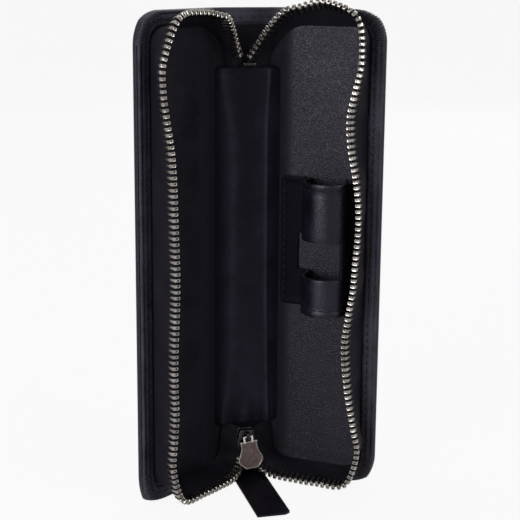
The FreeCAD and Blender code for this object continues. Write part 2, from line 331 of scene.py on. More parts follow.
# Each line of the turned edge has its inset and rise along the sides, then at the corners.
edge_profile = (
    (1.6, -1.65, 1.6, -1.65), (0.8, -1.64, 0.8, -1.64), (0.3, -1.56, 0.3, -1.56),
    (0.02, -1.3, 0.02, -1.3), (-0.14, -0.85, -0.14, -0.85), (-0.16, -0.2, -0.17, -0.2),
    (-0.02, 0.35, -0.17, 0.3), (0.4, 0.5, -0.16, 0.55), (0.4, 0.62, -0.14, 0.72),
    (0.02, 0.74, -0.09, 0.95), (-0.08, 1.05, 0.0, 1.2), (0.1, 1.45, 0.15, 1.46),
    (0.5, 1.66, 0.45, 1.66), (0.95, 1.56, 0.9, 1.74), (1.2, 1.42, 1.2, 1.77),
    (1.45, 1.42, 1.5, 1.78), (1.75, 1.58, 1.8, 1.78), (2.4, 1.72, 2.4, 1.77),
    (3.0, 1.62, 3.0, 1.68), (3.3, 1.56, 3.3, 1.6), (3.6, 1.62, 3.6, 1.66),
    (4.1, 1.73, 4.1, 1.74), (4.7, 1.66, 4.7, 1.66), (5.05, 1.45, 5.05, 1.45),
    (5.15, 1.05, 5.15, 1.05), (5.1, 0.7, 5.1, 0.7), (5.6, 0.3, 5.6, 0.3))
hem_first = 9
gather_count, gather_depth, gather_wander, gather_sharp = 17, 0.26, 0.7, 1.6
gather_start, gather_end, edge_draw, edge_lift = -1.2, 4.9, 0.5, 0.6
swell_broad, swell_fine, hem_wave = 0.07, 0.05, 0.04
pressed_from, pressed_run, pressed_least = 6.0, 9.0, 0.3
under_spine, under_run = -0.75, 4.0
border_column = np.array(list(range(last_column)) + [last_column] * last_row
                         + list(range(last_column, -1, -1)), float)
border_row = np.array([0] * last_column + list(range(last_row))
                      + [last_row] * (last_column + 1), float)
step_out, step_down, step_up = corner_steps(border_column, border_row)
step_high = step_down + step_up
corner_turn = np.arctan2(rounded(step_high, step_out), rounded(step_out, step_high))
border_share = np.where((step_out > 0) & (step_high > 0),
                        np.clip(corner_turn / (math.pi / 2), 0, 1), 0)
in_corner = np.sin(math.pi * border_share) ** 0.35
pleats = in_corner * (1 - gather_sharp * np.abs(np.sin(
    math.pi * gather_count * border_share + gather_wander * np.sin(9 * border_share))) ** 0.8)


def pressed(out, rise):
    """The hem is pressed thin where it crosses the soft spine."""
    thin = np.clip((out - pressed_from) / pressed_run, pressed_least, 1)
    return np.where(np.asarray(rise) > 0, rise * thin, rise)


def edge_ring(side, inset, rise, corner_inset, corner_rise):
    """One line of the turned edge: plain along the sides, drawn into gathers at the corners."""
    from_middle = abs(2 * inset - gather_start - gather_end) / (gather_end - gather_start)
    strength = gather_depth * np.clip(1 - from_middle, 0, 1) ** 0.4
    inset = inset + (corner_inset - inset) * in_corner
    rise = rise + (corner_rise - rise) * in_corner
    on_edge = np.clip((rise + 1.3) / 0.5, 0, 1) * np.clip((1.2 - inset) / 0.8, 0, 1)
    out, height = sheet_place(side, border_column, border_row,
                              inset + edge_draw * strength * on_edge * (pleats + edge_lift))
    on_hem = np.clip((rise - 0.6) / 0.5, 0, 1)
    rise = rise - on_hem * (strength * pleats - hem_wave * np.sin(height / 5.3 + out / 3.1))
    return folded(side, out, pressed(out, rise), height)


for side in sides:
    wrap, column, row = new_grid(side + "_outer_leather", last_column, last_row)
    out, height = sheet_place(side, column, row, edge_profile[0][0])
    on_border = (column == last_column) | (row == 0) | (row == last_row)
    swell = (swell_broad * np.sin(height / 17.0 + 0.8) * np.sin(out / 9.0)
             + swell_fine * np.sin(height / 6.1 + out / 7.3))
    rise = edge_profile[0][1] + np.where(on_border, 0, swell)
    set_points(wrap, folded(side, out, rise, height))
    pick_edges(wrap, on_border)
    turn_over(wrap, *(edge_ring(side, *level) for level in edge_profile))
    under, column, row = new_grid(side + "_inner_side", last_column, last_row)
    inset, rise = edge_profile[-1][:2]
    out, height = sheet_place(side, column, row, inset)
    under_rise = np.interp(out, (spine_half, spine_half + under_run), (under_spine, rise))
    under_rise = np.where(on_border, pressed(out, rise), under_rise)
    set_points(under, folded(side, out, under_rise, height))
    wrap = join([wrap, under], side + "_outer_leather")
    close_up(wrap)
    dress(wrap, hide_leather, hem_leather)
    first, last = (last_column * last_row + lines * (len(border_column) - 1)
                   for lines in (hem_first, len(edge_profile) - 1))
    for polygon in wrap.data.polygons[first:last]:
        polygon.material_index = 1
    follow_fold(wrap)
    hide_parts(side + "_cover_leather", "spine_leather")

# Hem stitches: waxed black thread, sewn in short even stitches along the middle of the hem
# through hem, board and outer leather, so that they show on both faces.
stitch_length, stitch_width, stitch_pitch = 2.1, 0.42, 2.75
stitch_full, stitch_flat, stitch_dip = 0.8, 0.8, 0.45
hem_stitch_inset, hem_stitch_rise, back_stitch_rise = 3.3, 1.62, -1.66

pick()
bpy.ops.mesh.primitive_uv_sphere_add(segments=6, ring_count=7, radius=0.5,
                                     rotation=(0, math.pi / 2, 0))
stitch = named("stitch")
along, wide, deep = points_of(stitch).T
along = np.sign(along) * np.abs(along * 2) ** stitch_full / 2
dip = (along * 2) ** 2 * stitch_width * stitch_dip
set_points(stitch, np.stack([along * stitch_length, wide * stitch_width,
                             deep * stitch_width * stitch_flat - dip], 1) * metre)


def run_of(points):
    """The length of a line of points, up to each of them."""
    steps = np.linalg.norm(np.diff(points, axis=0), axis=1)
    return np.concatenate([[0], np.cumsum(steps)])


def along_line(where, run, points):
    return np.stack([np.interp(where, run, points[:, k]) for k in range(3)], 1)


def evenly(points, pitch):
    """Places, directions and distances at even steps along a line of points."""
    run = run_of(points)
    count = int(run[-1] / pitch)
    where = (run[-1] - (count - 1) * pitch) / 2 + np.arange(count) * pitch
    nudge = pitch * 0.1
    ways = along_line(where + nudge, run, points) - along_line(where - nudge, run, points)
    ways /= np.linalg.norm(ways, axis=1)[:, None]
    return along_line(where, run, points), ways, where


def copies(model, places, ways, faces, name):
    """Copies of a small model, its X along the way and its Z along the face, as one piece."""
    made = []
    for place, way, face in zip(places, ways, faces):
        way, face = Vector(way).normalized(), Vector(face)
        face = (face - way * face.dot(way)).normalized()
        turn = Matrix((way, face.cross(way), face)).transposed().to_4x4()
        copy = model.copy()
        copy.data = model.data.copy()
        copy.data.transform(Matrix.Translation(place) @ turn)
        bpy.context.scene.collection.objects.link(copy)
        made.append(copy)
    piece = join(made, name)
    dress(piece)
    return piece


def sew(line, outward, name):
    """A row of stitches along a line, each standing out as the line's nearest place does."""
    places, ways, _ = evenly(line, stitch_pitch * metre)
    finder = finder_of(line)
    nearest = [finder.find(place)[1] for place in places]
    return copies(stitch, places, ways, outward[nearest], name)


thread, tree, shader = new_material("waxed_thread")
strands = node(tree, "TexWave", {"bands_direction": "DIAGONAL"}, Scale=900.0, Distortion=1.5,
               Vector=(node(tree, "TexCoord"), "Object")), "Fac"
plug(shader, Base_Color=tones(tree, strands, (0.2, (0.002, 0.0019, 0.0026)),
                              (0.9, (0.007, 0.0066, 0.0085))),
     Normal=bump(tree, strands, 0.6, 0.00005), Roughness=0.62, Specular_IOR_Level=0.14)
stitch.data.materials.append(thread)

for side in sides:
    out, height = sheet_place(side, border_column, border_row, hem_stitch_inset)
    seams = []
    for rise, up in ((pressed(out, hem_stitch_rise), 1), (back_stitch_rise, -1)):
        line = folded(side, out, rise, height)
        seams.append(sew(line, folded(side, out, rise + up, height) - line, "seam"))
    sewn = join(seams, side + "_hem_stitches")
    follow_fold(sewn)

# Cover linings: thin smooth leather glued over the board inside the hem. Each runs on through
# the soft fold to the spine's middle, where the padded spine lining covers it.
lining_inset, lining_thick, lining_face, lining_spine = 5.1, 0.5, 1.25, -0.1
climb_start, climb_run = spine_half - 3, 8.6
lining_full, puff_broad, puff_fine = 0.2, 0.1, 0.05
# Out from the spine's middle, where each lining's painted shade is full and where it ends: painted
# shade in the fold's valley.
fold_shade_span = {"left": (15.0, 23.0), "right": (12.8, 17.5)}
lining_leather = leather("lining_leather", (0.003, 0.0026, 0.0046), (0.0071, 0.0061, 0.0109),
                         0.0005, 0.00005, 0.36, 0.185, with_painted_light=True)


def face_front(piece, chosen=lambda face: True):
    """Turn an open sheet's faces all one way, so that the chosen ones look to the front."""
    edit(piece, face_out)
    if sum(face.normal.y for face in piece.data.polygons if chosen(face)) > 0:
        edit(piece, pick_all, bpy.ops.mesh.flip_normals)


def mark_painted_light(piece, painted_light_amount):
    """Store how much shade is painted into each point's colour; below 0, how much highlight."""
    piece.data.attributes.new("painted_light", "FLOAT", "POINT").data.foreach_set("value", painted_light_amount)


def apply_modifier(piece, kind, **settings):
    pick(piece)
    modifier = piece.modifiers.new(kind.title(), kind)
    for key, value in settings.items():
        setattr(modifier, key, value)
    bpy.ops.object.modifier_apply(modifier=modifier.name)


for side in sides:
    lining, column, row = new_grid(side + "_cover_lining.leather", last_column, last_row)
    out, height = sheet_place(side, column, row, lining_inset)
    climb = np.clip((out - climb_start) / climb_run, 0, 1)
    climb = climb * climb * (3 - 2 * climb)
    puff = (puff_broad * np.sin(height / 23.0) * np.sin(out / 11.0)
            + puff_fine * np.sin(height / 9.0 + out / 5.0))
    rise = lining_spine + (lining_face + lining_full + puff) * climb
    set_points(lining, folded(side, out, rise, height))
    face_front(lining)
    # Painted shade: each lining is darkened towards the soft fold, where its valley lies in shade.
    deep, flat = fold_shade_span[side]
    mark_painted_light(lining, np.clip((flat - out) / (flat - deep), 0, 1))
    apply_modifier(lining, "SOLIDIFY", thickness=lining_thick * metre, offset=-1)
    dress(lining, lining_leather)
    follow_fold(lining)
    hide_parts(side + "_cover_lining")

# Spine lining: soft leather drawn over a padded stiffener, with two ridges beside a slightly
# hollow middle. It is drawn into folds at its foot, and its ends are turned under and sewn across.
pad_low, pad_high, pad_half = 19.2, 148.5, 12.5
pad_crest, pad_foot, pad_sag = 2.65, 0.9, 0.3
pad_back, foot_back, back_flat = 0.6, -0.4, 9.0
pad_columns, pad_rows = 130, 160
end_roll, end_round = 1.3, 3.0
sewn_line, sewn_soft, sewn_half, sewn_count = 2.4, 0.45, 7.4, 60
sewn_depth, pucker_depth, row_reach = 0.2, 0.12, 0.8
zip_shift = -1.2
ridge_left = ((0, -9.5), (6, -9.0), (12, -7.8), (22, -6.1), (100, -5.5), (111, -6.5), (117, -8.0),
              (122, -9.2), (129.3, -9.6))
ridge_right = ((0, 7.9), (20, 7.2), (60, 6.7), (110, 6.6), (129.3, 7.8))
ridge_rise, broad_width, thin_width = 0.3, 1.7, 0.75
middle_ripple, foot_ripple = 0.12, 0.22
# Painted light on the spine lining: shade painted on its slopes, at the top of its hollow middle,
# at its foot and at its low end, and highlights painted on its two ridges. The foot's painted shade
# reaches up from the low end, with a lighter painted streak down its middle.
slope_shade, hollow_top_shade, foot_shade_strength, end_shade, broad_ridge_highlight, thin_ridge_highlight = 0.8, 0.5, 0.55, 0.45, 0.5, 0.6
foot_streak_width, foot_shade_from, foot_shade_run = 1.3, 10.5, 6.5

pad, column, row = new_grid("spine_lining.leather", pad_columns, pad_rows)
height = pad_low + (pad_high - pad_low) * row / pad_rows
from_low = height - pad_low
near_end = np.minimum(from_low, pad_high - height)
into_round = np.clip(1 - near_end / end_round, 0, 1)
half_here = pad_half - end_round * (1 - np.sqrt(1 - into_round ** 2))
across = (column / pad_columns * 2 - 1) * half_here
knots = np.linspace(0, pad_high - pad_low, 60)


def softened(values):
    """A running mean over seven values."""
    return np.convolve(np.pad(values, 3, mode="edge"), np.ones(7) / 7, mode="valid")


def hump(place, middle, width):
    """A smooth hump, 1 high at its middle."""
    return np.exp(-((place - middle) / width) ** 2)


left_ridge, right_ridge = (np.interp(from_low, knots, softened(np.interp(knots, *zip(*ridge))))
                           for ridge in (ridge_left, ridge_right))
slope = np.minimum(np.clip((across + half_here) / (left_ridge + half_here), 0, 1),
                   np.clip((half_here - across) / (half_here - right_ridge), 0, 1))
shoulder = 0.55 * slope + 0.45 * (0.5 - 0.5 * np.cos(slope * math.pi))
ridge_wave = 1 + 0.25 * np.sin(from_low / 4.3) * np.sin(from_low / 11.7 + 1)
broad_ridge = hump(across, left_ridge, broad_width) * ridge_wave
thin_ridge = hump(across, right_ridge, thin_width) * ridge_wave
middle = np.clip((across - left_ridge) / (right_ridge - left_ridge), 0, 1)
hollow = np.sin(middle * math.pi) ** 1.3
front = (pad_foot + (pad_crest - pad_foot) * shoulder + ridge_rise * (broad_ridge + thin_ridge)
         - pad_sag * hollow * (1 - 0.75 * np.exp(-near_end / 7))
         + middle_ripple * np.sin(from_low / 13.0 + across / 4.0) * hollow
         + foot_ripple * np.exp(-from_low / 5) * slope
         * np.sin(across * 1.9 + 0.6 * np.sin(across)))
roll = np.sqrt(np.clip(1 - (1 - np.clip(near_end / end_roll, 0, 1)) ** 2, 0, 1))
dip = hump(near_end, sewn_line, sewn_soft)
pucker = 0.5 + 0.5 * np.cos(across * 2 * math.pi / stitch_pitch)
front = front * (0.45 + 0.55 * roll) - dip * (sewn_depth + pucker_depth * pucker) * slope
set_points(pad, np.stack([across, -front, height], 1) * metre)
# Painted light: shade and highlights are painted into the spine lining's colour here, as listed
# above.
foot_shade_mask = (np.clip((foot_shade_from - from_low) / foot_shade_run, 0, 1)
            * (1 - 1.4 * hump(across, zip_shift, foot_streak_width)))
mark_painted_light(pad, slope_shade * np.clip(1 - slope / 0.7, 0, 1)
            + hollow_top_shade * hollow * np.clip((from_low - 50) / 60, 0, 1)
            + foot_shade_strength * foot_shade_mask * hollow ** 0.3 + end_shade * np.clip((4.5 - from_low) / 4, 0, 1)
            - broad_ridge_highlight * broad_ridge - thin_ridge_highlight * thin_ridge)


def border_of(column, row):
    """Which points lie on a grid's border."""
    return (column == 0) | (column == column.max()) | (row == 0) | (row == row.max())


def back_up(piece, on_border, depth):
    """Carry a shaped front's border back, to a depth by its place across, and close it."""
    pick_edges(piece, on_border)
    rim = points_of(piece)[on_border]
    back = rim.copy()
    back[:, 1] = depth(rim[:, 0] / metre) * metre
    turn_over(piece, rim, back)
    close_up(piece)


back_up(pad, border_of(column, row),
        lambda x: np.interp(np.abs(x), (back_flat, pad_half), (pad_back, foot_back)))
pad_leather = leather("spine_lining_leather", (0.0052, 0.0046, 0.0076), (0.0174, 0.0154, 0.0249),
                      0.0005, 0.00005, 0.52, 0.075, with_painted_light=True)
dress(pad, pad_leather, angle=60)
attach(pad, "spine")
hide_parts("spine_lining")

seams = []
for level in (pad_low + sewn_line, pad_high - sewn_line):
    spots = np.linspace(-sewn_half, sewn_half, sewn_count)
    face = np.abs(height - level) < row_reach
    depth = [-front[face][np.argmin(np.abs(across[face] - x))] for x in spots]
    line = np.stack([spots, depth, np.full(sewn_count, level)], 1) * metre
    seams.append(sew(line, np.tile((0.0, -1.0, 0.0), (sewn_count, 1)), "seam"))
sewn = join(seams, "spine_lining_stitches")
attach(sewn, "spine")

# Stiffeners: plain grey board, cut square and sealed between outer leather and lining. One lies
# in the spine and one in each cover, and none of them shows.
board_near, board_far, board_end = 5.5, 5.0, 5.0
board_back, board_thick = -0.45, 0.65

board, tree, shader = new_material("grey_board")
plug(shader, Base_Color=tones(tree, noise(tree, 900.0, 6.0), (0.3, (0.05, 0.048, 0.045)),
                              (0.7, (0.11, 0.105, 0.1))), Roughness=0.85)
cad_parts["spine_board"].data.materials.clear()
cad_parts["spine_board"].data.materials.append(board)
for side in sides:
    pick()
    bpy.ops.mesh.primitive_cube_add(size=1)
    panel = named(side + "_board")
    across, deep, high = (points_of(panel) + 0.5).T
    out = spine_half + board_near + across * (cover_width - board_near - board_far)
    set_points(panel, folded(side, out, board_back + deep * board_thick,
                             board_end + high * (case_height - 2 * board_end)))
    edit(panel, face_out)
    panel.data.materials.append(board)
    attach(panel, side + "_cover")
    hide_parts(side + "_cover_board")

# Zip tape: black twill tape sewn in between hem and lining. It stands up round three edges of
# each cover, waves freely, and dives to the spine at both ends. A cord in its edge holds the teeth.
tape_width, tape_thick, tape_cells = 11.5, 0.6, 8
cord_radius = 0.62
seam_inset, seam_rise, tape_start = 5.5, 1.45, 10.0
leans = {"left": (2.6, 2.8, 2.9, 3.1, 2.8, 2.1, 2.4, 2.4, 2.0, 1.6, 1.5, 1.8, 2.1, 2.4, 3.0, 4.3,
                  5.4, 5.2, 4.2, 4.6, 3.2),
         "right": (2.6, 2.8, 2.8, 2.6, 1.3, -0.4, -1.7, -2.3, -1.3, 0.1, 0.7, 1.3, 1.2, 0.1, -1.6,
                   -2.1, -0.3, 1.2, 4.2, 7.5, 5.6)}
head_row = {"left": (3.6, -3.8, 150.6), "right": (-0.1, -3.8, 150.6)}
head_row_tail = {"left": (3.4, -1.6, 147.4), "right": (0.1, -1.6, 147.4)}
head_seam, head_seam_tail = (7.6, -0.2, 149.4), (7.4, 0.0, 146.6)
head_way = {"left": (-0.4, 0.0, -1), "right": (-0.75, 0.0, -1)}
foot_row = {"left": (2.3, -5.6, 9.0), "right": (0.7, -5.6, 9.0)}
foot_row_tail = (1.1, -4.9, 18.2)
foot_seam, foot_seam_tail = (9.5, -1.3, 12.4), (8.6, -0.3, 20.6)
foot_way = {"left": (-0.12, 0.0, 1), "right": (-0.35, 0.0, 1)}
seam_reach, foot_reach = (6.0, 6.0), (6.5, 6.0)
head_reach = {"left": (3.4, 8.0), "right": (6.5, 6.5)}
bend_points, tuck_points, tuck_reach = 25, 7, 0.3
steps_between = 8
belly_mean, belly_broad, belly_fine, belly_ease = 0.55, 0.4, 0.25, 8.0
weave_scale, head_weave, foot_weave = 100, 0.3, 0.5
cover_lag, tail_lag = (0.0072, -0.036), (0.0749, -0.036)

seam_radius = corner_radius - seam_inset
corner_out = cover_width - corner_radius
flat_run = corner_out - tape_start
bend_run = seam_radius * math.pi / 2
side_run = case_height - 2 * corner_radius
seam_length = 2 * flat_run + 2 * bend_run + side_run


def seam_at(distance):
    """Out and up of places along the seam, and their outward directions."""
    turned = (np.clip((distance - flat_run) / bend_run, 0, 1)
              + np.clip((distance - flat_run - bend_run - side_run) / bend_run, 0, 1))
    away = np.sin(turned * math.pi / 2), -np.cos(turned * math.pi / 2)
    short = np.clip(flat_run - np.minimum(distance, seam_length - distance), 0, None)
    risen = np.clip(distance - flat_run - bend_run, 0, side_run)
    return (corner_out + seam_radius * away[0] - short,
            corner_radius + seam_radius * away[1] + risen, away)


def eased(points):
    """A smooth line through points, sampled finely."""
    ends = np.vstack([2 * points[0] - points[1], points, 2 * points[-1] - points[-2]])
    p0, p1, p2, p3 = (ends[k:k + len(points) - 1, None] for k in range(4))
    t = (np.arange(steps_between) / steps_between)[:, None]
    line = 0.5 * (2 * p1 + (p2 - p0) * t + (2 * p0 - 5 * p1 + 4 * p2 - p3) * t * t
                  + (3 * p1 - p0 - 3 * p2 + p3) * t ** 3)
    return np.vstack([line.reshape(-1, 3), points[-1]])


def soft_bend(start, start_way, end, end_way, reach, count):
    """A curve that leaves its start and meets its end along given ways."""
    t = np.linspace(0, 1, count)[:, None]
    lead, trail = start + start_way * reach[0], end - end_way * reach[1]
    return (start * (1 - t) ** 3 + lead * 3 * (1 - t) ** 2 * t + trail * 3 * (1 - t) * t * t
            + end * t ** 3)


def tape_lines(side):
    """Seam and tooth row of the tape on its cover, in metres, at fine steps."""
    lean = np.array(leans[side])
    out, height, away = seam_at(np.linspace(0, seam_length, len(lean)))
    stand = np.sqrt(tape_width ** 2 - lean ** 2)
    row = eased(np.stack([spine_half + out + lean * away[0], seam_rise + stand,
                          height + lean * away[1]], 1))
    out, height, away = seam_at(np.linspace(0, seam_length, len(row)))
    return folded(side, spine_half + out, seam_rise, height), folded(side, *row.T)


def end_lines(side, starts, stops, tails, row_way, row_reach):
    """Seam and tooth row of a tape end, from the cover to the spine and on under its lining."""
    mirror = np.array([sides[side], 1, 1])
    inward = np.array([-math.cos(open_angle), math.sin(open_angle), 0]) * mirror
    row_way = np.array(row_way) / np.linalg.norm(row_way) * mirror
    ways = np.array([0, 0, np.sign(row_way[2])]), row_way
    lines = []
    for start, stop, tail, way, reach in zip(starts, stops, tails, ways, (seam_reach, row_reach)):
        stop, tail = (np.array(v) * metre * mirror for v in (stop, tail))
        bend = soft_bend(start, inward, stop, way, np.array(reach) * metre, bend_points)
        length = np.linalg.norm(tail - stop)
        tuck = soft_bend(stop, way, tail, (tail - stop) / length,
                         np.full(2, tuck_reach * length), tuck_points)
        lines.append(np.vstack([bend, tuck[1:]]))
    return lines


def add(name, data):
    """Put a new object in the scene."""
    made = bpy.data.objects.new(name, data)
    bpy.context.scene.collection.objects.link(made)
    return made


def tape_strip(name, seam, row, weave_start):
    """The woven strip between seam and row, with a soft belly, and the cord in its edge."""
    strip, across, along = new_grid(name, tape_cells, len(seam) - 1)
    along = along.astype(int)
    share = (across / tape_cells)[:, None]
    faces = np.cross(np.gradient(row, axis=0) + np.gradient(seam, axis=0), row - seam)
    faces /= np.linalg.norm(faces, axis=1)[:, None]
    run = run_of(row)
    belly = (belly_mean + belly_broad * np.sin(run * 210)
             + belly_fine * np.sin(run * 530 + 1)) * metre
    belly *= np.clip(np.minimum(run, run[-1] - run) / (belly_ease * metre), 0, 1)
    rippled = np.sin(share * math.pi) * (belly[:, None] * faces)[along]
    set_points(strip, seam[along] * (1 - share) + row[along] * share + rippled)
    weave = strip.data.uv_layers[0]
    weave.name = "weave"
    corners = np.empty(len(strip.data.loops), int)
    strip.data.loops.foreach_get("vertex_index", corners)
    laid = np.stack([weave_start + run[along[corners]], share[corners, 0] * tape_width * metre], 1)
    weave.data.foreach_set("uv", (laid * weave_scale).ravel())
    apply_modifier(strip, "SOLIDIFY", thickness=tape_thick * metre, offset=0)
    cord_line = bpy.data.curves.new(name + "_cord", "CURVE")
    cord_line.dimensions = "3D"
    spline = cord_line.splines.new("POLY")
    spline.points.add(len(row) - 1)
    spline.points.foreach_set("co", np.hstack([row, np.ones((len(row), 1))]).ravel())
    cord_line.bevel_depth = cord_radius * metre
    cord_line.bevel_resolution = 1
    cord_line.use_fill_caps = True
    cord = add(name + "_cord", cord_line)
    pick(cord)
    bpy.ops.object.convert(target="MESH")
    strip = join([strip, bpy.context.object], name)
    dress(strip, twill)
    return strip


twill, tree, shader = new_material("black_twill_tape")
flat = node(tree, "UVMap", {"uv_map": "weave"}), "UV"
ribs = node(tree, "TexWave", {"bands_direction": "DIAGONAL", "wave_profile": "SIN"}, Vector=flat,
            Scale=5.5, Distortion=0.6, Detail=1.0), "Fac"
picks = node(tree, "TexWave", {"bands_direction": "Y"}, Vector=flat, Scale=9.0,
             Distortion=0.4), "Fac"
weave_height = add_share(tree, picks, 0.4, ribs)
shade = add_share(tree, noise(tree, 600.0, 4.0), 0.5, weave_height)
plug(shader, Base_Color=tones(tree, shade, (0.3, (0.0023, 0.002, 0.0034)),
                              (1.0, (0.0075, 0.0067, 0.0109))),
     Normal=bump(tree, weave_height, 0.7, 0.00008), Roughness=0.62, Specular_IOR_Level=0.1)


def lag(piece):
    """Bake the piece's place into its mesh."""
    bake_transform(piece)


tapes = {}
for side in sides:
    seam, tooth_row = tape_lines(side)
    head = end_lines(side, (seam[-1], tooth_row[-1]), (head_seam, head_row[side]),
                     (head_seam_tail, head_row_tail[side]), head_way[side], head_reach[side])
    foot = end_lines(side, (seam[0], tooth_row[0]), (foot_seam, foot_row[side]),
                     (foot_seam_tail, foot_row_tail), foot_way[side], foot_reach)
    tapes[side] = (seam, tooth_row), head, foot
    tape = tape_strip(side + "_tape", seam, tooth_row, 0)
    lag(tape)
    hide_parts(side + "_zip_tape")
    ends = join([tape_strip(side + "_head", *head, head_weave),
                 tape_strip(side + "_foot", *foot, foot_weave)], side + "_tape_tails")
    lag(ends)
    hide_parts(side + "_tape_ends")

# Zip teeth: stamped from bright plated brass wire and crimped on the tape's cord, one by one.
# Each has two legs, a neck and a rounded head with a small cup in its face.
tooth_pitch, tooth_corners = 2.0, 8
tooth_sections = (
    (-1.9, 0.42, 0.85), (-1.55, 0.5, 1.02), (0.3, 0.47, 1.0), (0.75, 0.68, 1.04),
    (1.35, 0.68, 1.02), (1.66, 0.5, 0.84), (1.6, 0.3, 0.46), (1.1, 0.22, 0.36))

pick()
bpy.ops.mesh.primitive_circle_add(vertices=tooth_corners, radius=1, fill_type="NGON",
                                  rotation=(math.pi / 2, 0, 0))
tooth = named("tooth")
octagon = np.array([(i, j) for a, b in ((1, 0.72), (0.76, 1)) for i in (a, -a) for j in (b, -b)])
octagon = octagon[np.argsort(np.arctan2(octagon[:, 1], octagon[:, 0]))]
angles = np.arctan2(points_of(tooth)[:, 2], points_of(tooth)[:, 0])
octagon = octagon[np.argsort(np.argsort(angles))]
rings = [np.stack([octagon[:, 0] * half, np.full(tooth_corners, level), octagon[:, 1] * deep], 1)
         * metre for level, half, deep in tooth_sections]
set_points(tooth, rings[0])
pick_edges(tooth, np.ones(tooth_corners, bool))
turn_over(tooth, *rings)
close_up(tooth)

plated, tree, shader = new_material("bright_plated_teeth")
scuffs = noise(tree, 2600.0, 3.0)
plug(shader, Base_Color=tones(tree, noise(tree, 260.0, 4.0), (0.3, (0.18, 0.164, 0.151)),
                              (0.7, (0.33, 0.309, 0.287))),
     Roughness=uneven(tree, scuffs, 0.2, 0.36), Normal=bump(tree, scuffs, 0.25, 0.00004),
     Metallic=1.0)

tooth.data.materials.append(plated)
for side, (main, head, foot) in tapes.items():
    seam, tooth_row = (np.vstack([foot[k][:bend_points][::-1], main[k][1:-1],
                                  head[k][:bend_points]]) for k in (0, 1))
    run = run_of(tooth_row)
    places, ways, where = evenly(tooth_row, tooth_pitch * metre)
    faces = np.cross(ways, places - along_line(where, run, seam))
    on_ends = (where < run[bend_points - 1]) | (where > run[-bend_points])
    for name, kept, rates in ((side + "_zip_teeth", ~on_ends, cover_lag),
                              (side + "_end_teeth", on_ends, tail_lag)):
        teeth = copies(tooth, places[kept], ways[kept], faces[kept], name + ".metal")
        lag(teeth)
        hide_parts(name)
bpy.data.objects.remove(tooth)

# Pen loop: one piece of leather with a flange sewn to the lining, a round arch, and a straight
# wall that goes back under the lining. A window is cut across the arch.
loop_low, loop_high, loop_thick = 64.5, 110.5, 1.0
loop_axis, loop_radius, loop_axis_rise = 21.0, 8.4, 8.2
loop_face, loop_foot, loop_edge = 2.35, 2.0, 0.28
flange_edge, flange_corner, flange_seam = 2.0, 2.2, 1.5
window_edge, window_far, window_low, window_high = 8.6, 28.1, 77.5, 90.5
end_seam, seam_sunk, seam_margin = 2.2, 0.02, 1.0
wall_near, wall_far = loop_axis - loop_radius, loop_axis + loop_radius
wall_tuck, wall_under = 3.2, 0.4
lip_rise, lip_middle, lip_width = 0.16, 0.9, 0.7
end_groove, end_groove_width, flange_groove, flange_groove_width = 0.14, 0.35, 0.12, 0.4
sway_depth, sway_columns, flange_far = 0.12, 20, 16.0
window_turn = math.acos((window_far - loop_axis) / loop_radius)


def arch(start, end, count):
    return [(loop_axis + loop_radius * math.cos(a), loop_axis_rise + loop_radius * math.sin(a))
            for a in np.linspace(start, end, count)]


# The loop's outer face across the cover, as out and rise, in runs of even columns.
runs = [[(x, loop_face) for x in np.linspace(flange_edge, window_edge, 14)],
        [(x, loop_face) for x in np.linspace(window_edge, wall_near - loop_foot, 3)],
        [(wall_near - loop_foot + loop_foot * math.sin(a),
          loop_face + loop_foot - loop_foot * math.cos(a)) for a in np.linspace(0, math.pi / 2, 6)],
        [(wall_near, n) for n in np.linspace(loop_face + loop_foot, loop_axis_rise, 5)],
        arch(math.pi, window_turn, 24),
        arch(window_turn, 0, 7),
        [(wall_far - wall_tuck * math.sin(t * math.pi / 2) ** 3,
          loop_axis_rise + (lining_face - wall_under - loop_axis_rise) * t)
         for t in np.linspace(0, 1, 9)]]
line = np.array(runs[0][:1] + [place for run in runs for place in run[1:]])
window_first, window_last = (sum(len(run) - 1 for run in runs[:count]) for count in (1, 5))
stops = (loop_low, loop_low + end_seam, window_low, window_high, loop_high - end_seam, loop_high)
levels = np.concatenate([np.linspace(start, end, count)[:-1] for start, end, count in
                         zip(stops, stops[1:], (6, 9, 9, 11, 6))] + [[loop_high]])
loop, column, row = new_grid("pen_loop.leather", len(line) - 1, len(levels) - 1)
column, row = column.astype(int), row.astype(int)
ways = np.gradient(line, axis=0)
normals = np.stack([-ways[:, 1], ways[:, 0]], 1) / np.linalg.norm(ways, axis=1)[:, None]
height = levels[row]
near_end = np.minimum(height - loop_low, loop_high - height)
from_edge = line[column, 0] - flange_edge
lip = (lip_rise * hump(near_end, lip_middle, lip_width)
       - end_groove * hump(near_end, end_seam, end_groove_width)
       - np.where(column <= window_first,
                  flange_groove * hump(from_edge, flange_seam, flange_groove_width), 0))
sway = np.where(column > window_last - sway_columns, sway_depth * np.sin(height / 7.0), 0)
swollen = line[column] + normals[column] * (lip + sway)[:, None]
a, b = (np.clip(1 - reach / flange_corner, 0, 1) for reach in (from_edge, near_end))
swollen[:, 0] += flange_corner * (a - rounded(a, b))
inward = np.where(height < (loop_low + loop_high) / 2, 1, -1)
height = height + inward * flange_corner * (b - rounded(b, a))
set_points(loop, folded("right", spine_half + swollen[:, 0], swollen[:, 1], height))
low_row, high_row = (np.argmin(np.abs(levels - level)) for level in (window_low, window_high))
in_window = ((column >= window_first) & (column <= window_last)
             & (row >= low_row) & (row <= high_row))
bpy.context.tool_settings.mesh_select_mode = (False, False, True)
unpick(loop)
for polygon in loop.data.polygons:
    polygon.select = all(in_window[v] for v in polygon.vertices)
edit(loop, lambda: bpy.ops.mesh.delete(type="FACE"))
face_front(loop, lambda face: face.center.x < flange_far * metre)
apply_modifier(loop, "SOLIDIFY", thickness=loop_thick * metre, offset=-1, use_even_offset=True)


